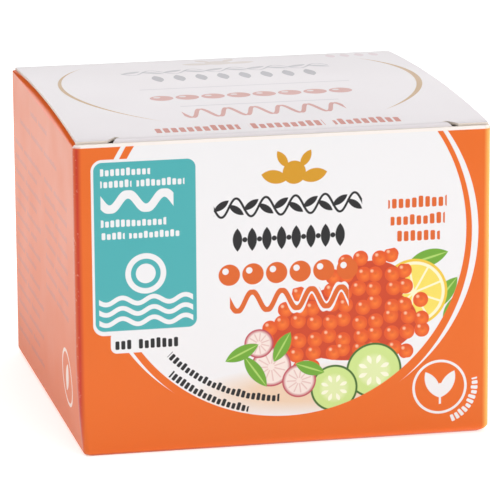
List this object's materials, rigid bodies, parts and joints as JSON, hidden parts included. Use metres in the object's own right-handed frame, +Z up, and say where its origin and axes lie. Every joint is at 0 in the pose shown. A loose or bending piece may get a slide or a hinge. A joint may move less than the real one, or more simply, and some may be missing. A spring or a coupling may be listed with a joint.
{
  "type": "folding carton",
  "caption": "Shut square folding carton for a small jar of fish roe, with an arched tuck-in lid, swelling dust flaps and orange and white printed sides.",
  "frame": {"origin": "middle of the base, on the surface that the carton stands on", "axes": "+X to the right along the front, +Y from the front to the back, +Z up"},
  "size_m": [0.068, 0.068, 0.0528],
  "materials": {
    "printed_board": "Coated white carton board printed orange on its sides and pale grey-white on its lid, with a satin varnish and bare cream cut edges."
  },
  "bodies": {
    "root": {"carton": "printed_board"}
  },
  "joints": []
}
